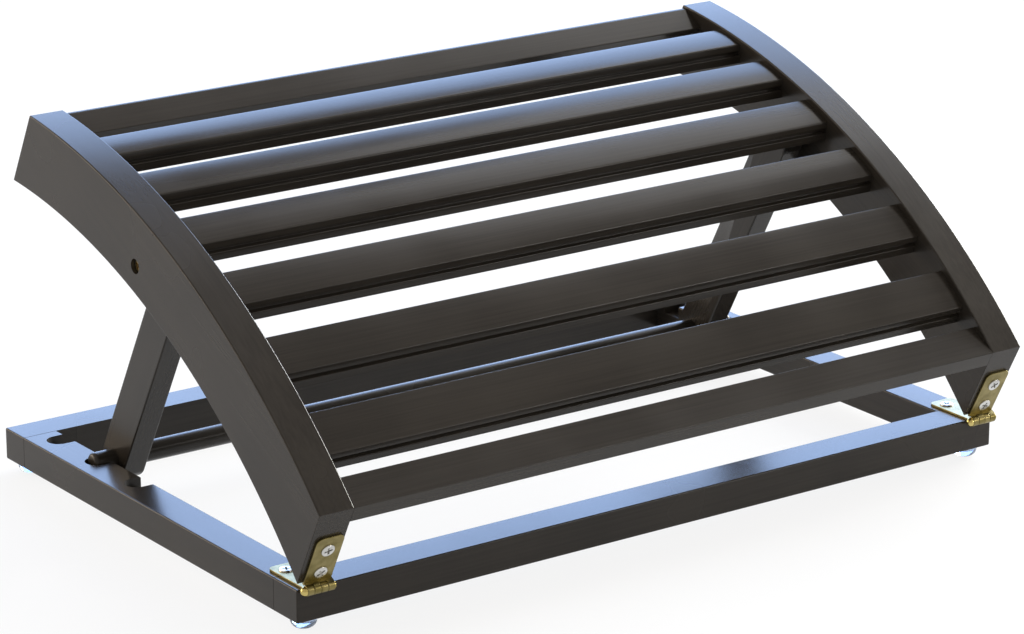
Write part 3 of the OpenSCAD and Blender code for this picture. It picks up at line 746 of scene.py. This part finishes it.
head_r, shank_r, ring_r = PIVOT_HEAD_D / 2, PIVOT_SCREW_D / 2, SPACER_D / 2
screw_long = HALF_W - PIVOT_SINK - leg_out + PIVOT_BITE
ring_wide = ARM_IN - leg_out - FREE_GAP
for name, side in SIDES.items():
    points = [(0, 0)]
    points += quarter((head_r - PIVOT_RIM, PIVOT_RIM), PIVOT_RIM, -90, 0, 4)
    points += [(head_r, PIVOT_HEAD_H - RUNNING), (shank_r, PIVOT_HEAD_H - RUNNING)]
    points += [(shank_r, screw_long), (0, screw_long)]
    recess = cross_recess(RECESS_SHARE * PIVOT_HEAD_D, PIVOT_SLOT, 0)
    bmesh.ops.transform(recess, matrix=Matrix.Rotation(pi, 4, "X"), verts=recess.verts)
    screw = cut(turned(points), recess)
    spot = Matrix.Translation((side * (HALF_W - PIVOT_SINK), 0, 0))
    place = on_support @ spot @ Matrix.Rotation(-side * pi / 2, 4, "Y")
    fit_piece(screw, place, f"{name}_pivot_screw", "brass", "support", old_brass)
    ring = turned(
        [
            (shank_r + SNUG, 0),
            (ring_r - SPACER_EDGE, 0),
            (ring_r, SPACER_EDGE),
            (ring_r, ring_wide - SPACER_EDGE),
            (ring_r - SPACER_EDGE, ring_wide),
            (shank_r + SNUG, ring_wide),
        ],
        closed=True,
    )
    low_x = leg_out if side > 0 else -leg_out - ring_wide
    spot = Matrix.Translation((low_x, 0, 0)) @ crosswise
    fit_piece(ring, on_support @ spot, f"{name}_pivot_spacer", "nylon", "support", nylon)

# The hinges are small brass-plated butt hinges, stamped from sheet and rolled round a
# pin. One leaf lies on the base frame, the other stands against the arm's front end.
BARREL_D, PIN_D, KNUCKLES, KNUCKLE_EDGE = 5.5, 2.6, 4, 0.35
PIN_HEAD_H, PIN_HEAD_IN, PIN_TAIL_H, PIN_TAIL_IN, PIN_TAIL_EDGE = 2.7, 0.3, 0.6, 0.6, 0.25
PIN_STEPS = 48
LEAF_W, LEAF_T, LEAF_ROUND, LEAF_EDGE, WEB_CLEAR = 16.4, 1.3, 3.5, 0.22, 0.3
BASE_LEAF, ARM_LEAF = 35.8, 33
BASE_SCREWS = ((1.9, 10), (-1.9, 27.6))
ARM_SCREWS = (8.4, 24)
SCREW_HEAD_D, SCREW_D, SCREW_LEN, SCREW_UP, SCREW_SLOT = 7.6, 3.2, 9.5, 0.8, 1.1
hinge_x = HALF_W - ARM_T / 2
hinge_shift = (PIN_HEAD_H - PIN_TAIL_H) / 2
knuckle_len = LEAF_W / KNUCKLES
barrel_r = BARREL_D / 2
leaf_seat = ARM_SETBACK + HINGE_OUT
web_low = barrel_r - LEAF_T
brass = metal(
    "satin_brass", (0.17, 0.14, 0.048), (0.27, 0.225, 0.095), (0.26, 0.38), (0.0004, 0.006, 0.006)
)
bright_brass = metal(
    "barrel_brass", (0.46, 0.36, 0.11), (0.60, 0.49, 0.19), (0.14, 0.24), (0.0006, 0.0006, 0.0006)
)


def at_hinge(side):
    """The middle of a hinge, on its axis."""
    return Matrix.Translation((side * hinge_x + hinge_shift, -HINGE_OUT, 0))


def along_axis(start, length, radius):
    """A round bar on the hinge axis."""
    return dowel(radius, length, Matrix.Translation((start, 0, 0)) @ crosswise, PIN_STEPS)


def knuckle_row(first, trim, grow):
    """Every second knuckle from the first, shortened at its ends by the trim."""
    return [
        along_axis(i * knuckle_len - LEAF_W / 2 + trim, knuckle_len - 2 * trim, barrel_r + grow)
        for i in range(first, KNUCKLES, 2)
    ]


def leaf_plate(length, start):
    """A stamped plate from the start to its free end, whose corners are rounded."""
    plate = block((-LEAF_W / 2, start, 0), (LEAF_W / 2, length, LEAF_T))
    corners = [
        e
        for e in plate.edges
        if all(abs(v.co.y - length) < NEAR for v in e.verts)
        and abs(e.verts[0].co.z - e.verts[1].co.z) > 0.1
    ]
    bmesh.ops.bevel(
        plate, geom=corners, offset=LEAF_ROUND, segments=8, profile=0.5, affect="EDGES", material=-1
    )
    return rounded(plate, LEAF_EDGE)


def countersink(spot):
    """The tool for a screw's seat in a leaf whose outer face is at the spot."""
    head, shank = SCREW_HEAD_D / 2 + SNUG, SCREW_D / 2 + SNUG
    low = -LEAF_T - 1
    points = [(0, low), (shank, low), (shank, -LEAF_T), (head, 0), (head, 1), (0, 1)]
    tool = turned(points, PIN_STEPS)
    bmesh.ops.transform(tool, matrix=spot, verts=tool.verts)
    return tool


def knuckle_rims(edge):
    """A knuckle is eased round both its ends."""
    return float(abs(edge.verts[0].co.x - edge.verts[1].co.x) < NEAR)


def finish_leaf(leaf, first, spots):
    """Cuts the other leaf's knuckles out of a leaf and adds its own knuckles and holes."""
    for room in knuckle_row(1 - first, -RUNNING, FREE_GAP):
        leaf = cut(leaf, room)
    for knuckle in knuckle_row(first, RUNNING, 0):
        leaf = cut(leaf, rounded(knuckle, KNUCKLE_EDGE, knuckle_rims), "UNION")
    leaf = cut(leaf, along_axis(-LEAF_W, 2 * LEAF_W, PIN_D / 2 + RUNNING))
    for spot in spots:
        leaf = cut(leaf, countersink(spot))
    return leaf


base_spots = [Matrix.Translation((x, y, LEAF_T)) for x, y in BASE_SCREWS]
upright = Matrix.Rotation(pi / 2, 4, "X")
arm_spots = [Matrix.Translation((0, leaf_seat - LEAF_T, z)) @ upright for z in ARM_SCREWS]

for name, side in SIDES.items():
    leaf = finish_leaf(leaf_plate(BASE_LEAF, 0), 0, base_spots)
    fit_piece(
        leaf, on_base @ at_hinge(side), f"{name}_hinge_base_leaf", "brass", "base", brass
    )
    plate = leaf_plate(ARM_LEAF, web_low)
    stand = Matrix.Translation((0, leaf_seat, 0)) @ upright
    bmesh.ops.transform(plate, matrix=stand, verts=plate.verts)
    web = block((-LEAF_W / 2, 0, web_low), (LEAF_W / 2, leaf_seat - WEB_CLEAR, barrel_r))
    leaf = finish_leaf(cut(plate, web, "UNION"), 1, arm_spots)
    fit_piece(
        leaf, on_tread @ at_hinge(side), f"{name}_hinge_arm_leaf", "brass", "tread", brass
    )
    pin_r, dome_r, tail_r = PIN_D / 2, barrel_r - PIN_HEAD_IN, barrel_r - PIN_TAIL_IN
    end, head_end, tail_end = LEAF_W / 2, -LEAF_W / 2 - PIN_HEAD_H, LEAF_W / 2 + PIN_TAIL_H
    points = [(0, head_end)]
    points += quarter((0, head_end + dome_r), dome_r, -80, 0, 9)
    points += [(dome_r, -end), (pin_r, -end), (pin_r, end), (tail_r, end)]
    points += quarter((tail_r - PIN_TAIL_EDGE, tail_end - PIN_TAIL_EDGE), PIN_TAIL_EDGE, 0, 90, 3)
    points += [(0, tail_end)]
    fit_piece(
        turned(points, PIN_STEPS),
        on_base @ at_hinge(side) @ crosswise,
        f"{name}_hinge_pin",
        "brass",
        "base",
        bright_brass,
    )

# The hinge screws are zinc-plated steel with raised heads and cross recesses. Two hold
# each leaf, and each was stopped at its own turn.
SCREW_RIM, SCREW_CROWN, SCREW_POINT = 0.56, 0.04, 0.3
SCREW_TURNS = {"base": (20, 65, 40, 8), "arm": (35, 12, 70, 28)}
zinc = metal(
    "zinc_plate", (0.52, 0.52, 0.50), (0.70, 0.70, 0.68), (0.24, 0.36), (0.0008, 0.0008, 0.0008)
)


def wood_screw():
    """A raised countersunk screw with a cross recess, its leaf's face at height zero."""
    head, shank = SCREW_HEAD_D / 2, SCREW_D / 2
    points = [(0, SCREW_UP), (head * 0.55, SCREW_UP - SCREW_CROWN)]
    points += quarter((head - SCREW_RIM, SCREW_UP - SCREW_RIM), SCREW_RIM, 75, 0, 5)
    points += [(head, 0), (shank, -LEAF_T), (shank, 2 - SCREW_LEN)]
    points += [(SCREW_POINT, -SCREW_LEN), (0, -SCREW_LEN)]
    recess = cross_recess(RECESS_SHARE * SCREW_HEAD_D, SCREW_SLOT, SCREW_UP)
    return cut(turned(points, PIN_STEPS), recess)


def screws_at(spots, turns):
    """Screws driven in at these spots, each stopped at its own turn."""
    screws = []
    for spot, turn in zip(spots, turns):
        screw = wood_screw()
        matrix = spot @ Matrix.Rotation(radians(turn), 4, "Z")
        bmesh.ops.transform(screw, matrix=matrix, verts=screw.verts)
        screws.append(screw)
    return gathered(screws)


for end, body, place, spots in (
    ("base", "base", on_base, base_spots),
    ("arm", "tread", on_tread, arm_spots),
):
    both = [at_hinge(side) @ spot for side in SIDES.values() for spot in spots]
    screws = screws_at(both, SCREW_TURNS[end])
    fit_piece(screws, place, f"{end}_leaf_screws", "zinc", body, zinc)

# The studio table is covered with plain white paper, which keeps the footrest's shadow.
# A wide bluish window stands behind it, other windows light it from both sides, and a
# small lamp in front draws out the edges.
TABLE_HALF, PAPER_WHITE, PAPER_GLOW = 20, 0.88, 0.98
floor = bmesh.new()
bmesh.ops.create_grid(floor, x_segments=1, y_segments=1, size=TABLE_HALF)
floor_mesh = bpy.data.meshes.new("studio_floor")
floor.to_mesh(floor_mesh)
floor.free()
studio_floor = bpy.data.objects.new("studio_floor", floor_mesh)
bpy.context.scene.collection.objects.link(studio_floor)
paper, shader, node, links = new_material("white_paper")
shader.inputs["Base Color"].default_value = (0.8, 0.8, 0.8, 1)
shader.inputs["Roughness"].default_value = 0.9
rays = node("ShaderNodeLightPath").outputs
seen = rays["Is Camera Ray"]
for kind in ("Is Transmission Ray", "Is Glossy Ray"):
    seen = node("ShaderNodeMath", {0: seen, 1: rays[kind]}, operation="MAXIMUM").outputs["Value"]
share = node("ShaderNodeMath", {0: seen, 1: PAPER_WHITE}, operation="MULTIPLY").outputs["Value"]
white = node(
    "ShaderNodeEmission", {"Color": (1, 1, 1, 1), "Strength": PAPER_GLOW}
).outputs["Emission"]
blend = node("ShaderNodeMixShader", {0: share, 1: shader.outputs["BSDF"], 2: white})
output = paper.node_tree.nodes["Material Output"]
links.new(blend.outputs["Shader"], output.inputs["Surface"])
floor_mesh.materials.append(paper)

world = bpy.data.worlds.new("pale_room")
bpy.context.scene.world = world
world.use_nodes = True
background = world.node_tree.nodes["Background"]
background.inputs["Color"].default_value = (1.0, 0.94, 0.88, 1)
background.inputs["Strength"].default_value = 0.7


def soft_light(name, azimuth, elevation, distance, width, height, watts, colour):
    """A rectangular soft light that looks at the footrest from this direction."""
    lamp = bpy.data.lights.new(name, "AREA")
    lamp.shape = "RECTANGLE"
    lamp.size, lamp.size_y, lamp.energy, lamp.color = width, height, watts, colour
    holder = bpy.data.objects.new(name, lamp)
    a, e = radians(azimuth), radians(elevation)
    away = Vector((sin(a) * cos(e), cos(a) * cos(e), sin(e)))
    holder.location = Vector((0, 0, 0.1)) + away * distance
    holder.rotation_mode = "QUATERNION"
    holder.rotation_quaternion = (-away).to_track_quat("-Z", "Y")
    holder.visible_camera = False
    bpy.context.scene.collection.objects.link(holder)


soft_light("window_behind", 39, 23, 3.0, 4.5, 2.05, 156, (0.36, 0.57, 1.0))
soft_light("window_at_right", 78, 18, 3.0, 1.8, 1.2, 205, (1.0, 0.98, 0.89))
soft_light("window_at_left", -45, 14, 3.0, 2.2, 1.3, 52, (1.0, 0.83, 0.65))
soft_light("high_lamp", 64, 48, 3.0, 1.0, 0.7, 4, (1.0, 0.99, 0.97))
soft_light("lamp_in_front", 143, 20, 2.6, 0.4, 0.35, 10, (1.0, 0.97, 0.93))

# The camera stands where the photograph was taken from, in front and to the left. It
# has a long lens and looks a little down at the middle of the footrest.
LENS, SENSOR = 140.70, 36.0
AZIMUTH, ELEVATION, ROLL = radians(-35.491), radians(17.757), radians(0.025)
DISTANCE = 2.2238
target = on_base @ Vector((12.94, 156.99, 56.63))
back = Vector((sin(AZIMUTH) * cos(ELEVATION), -cos(AZIMUTH) * cos(ELEVATION), sin(ELEVATION)))
lens = bpy.data.cameras.new("photo_camera")
lens.lens, lens.sensor_width, lens.sensor_fit = LENS, SENSOR, "HORIZONTAL"
camera = bpy.data.objects.new("photo_camera", lens)
camera.rotation_mode = "QUATERNION"
camera.location = target + back * DISTANCE
level = (-back).to_track_quat("-Z", "Y")
camera.rotation_quaternion = level @ Matrix.Rotation(ROLL, 4, "Z").to_quaternion()
bpy.context.scene.collection.objects.link(camera)
bpy.context.scene.camera = camera
bpy.context.scene.view_settings.view_transform = "Standard"
